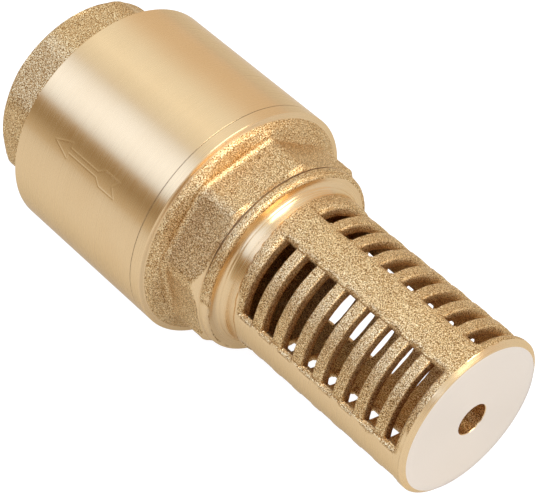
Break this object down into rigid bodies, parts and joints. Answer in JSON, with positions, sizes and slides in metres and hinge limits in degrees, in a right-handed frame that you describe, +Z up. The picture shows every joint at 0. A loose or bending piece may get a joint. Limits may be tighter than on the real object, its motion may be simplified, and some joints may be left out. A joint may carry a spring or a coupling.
{
  "type": "foot valve",
  "caption": "Spring-loaded brass foot valve with a slotted strainer, for the end of a 1 inch suction pipe",
  "frame": {"origin": "centre of the outlet end face", "axes": "+X along the valve from the outlet to the strainer's closed end, +Z up with the valve lying on its side"},
  "size_m": [0.107, 0.048, 0.048],
  "materials": {
    "turned_brass": "turned, bright satin",
    "cast_brass": "blasted casting with turned ends",
    "nitrile": "moulded, matt",
    "acetal": "moulded, satin",
    "stainless": "turned stainless",
    "spring_wire": "drawn stainless wire"
  },
  "bodies": {
    "valve": {"outlet_body": "turned_brass", "inlet_end": "cast_brass", "body_o_ring": "nitrile", "outlet_guide": "acetal", "inlet_guide": "acetal", "strainer": "cast_brass", "spring": "spring_wire"},
    "poppet": {"stem": "stainless", "valve_disc": "turned_brass", "seat_gasket": "nitrile", "gasket_retainer": "stainless", "stem_nut": "stainless", "spring_cup": "stainless"}
  },
  "joints": [
    {"name": "poppet_lift", "type": "slide", "parent": "valve", "child": "poppet", "axis": [-1, 0, 0], "range_m": [0, 0.007], "stiffness_N_per_m": 150, "springref_m": -0.01, "deforming": ["spring"]}
  ]
}
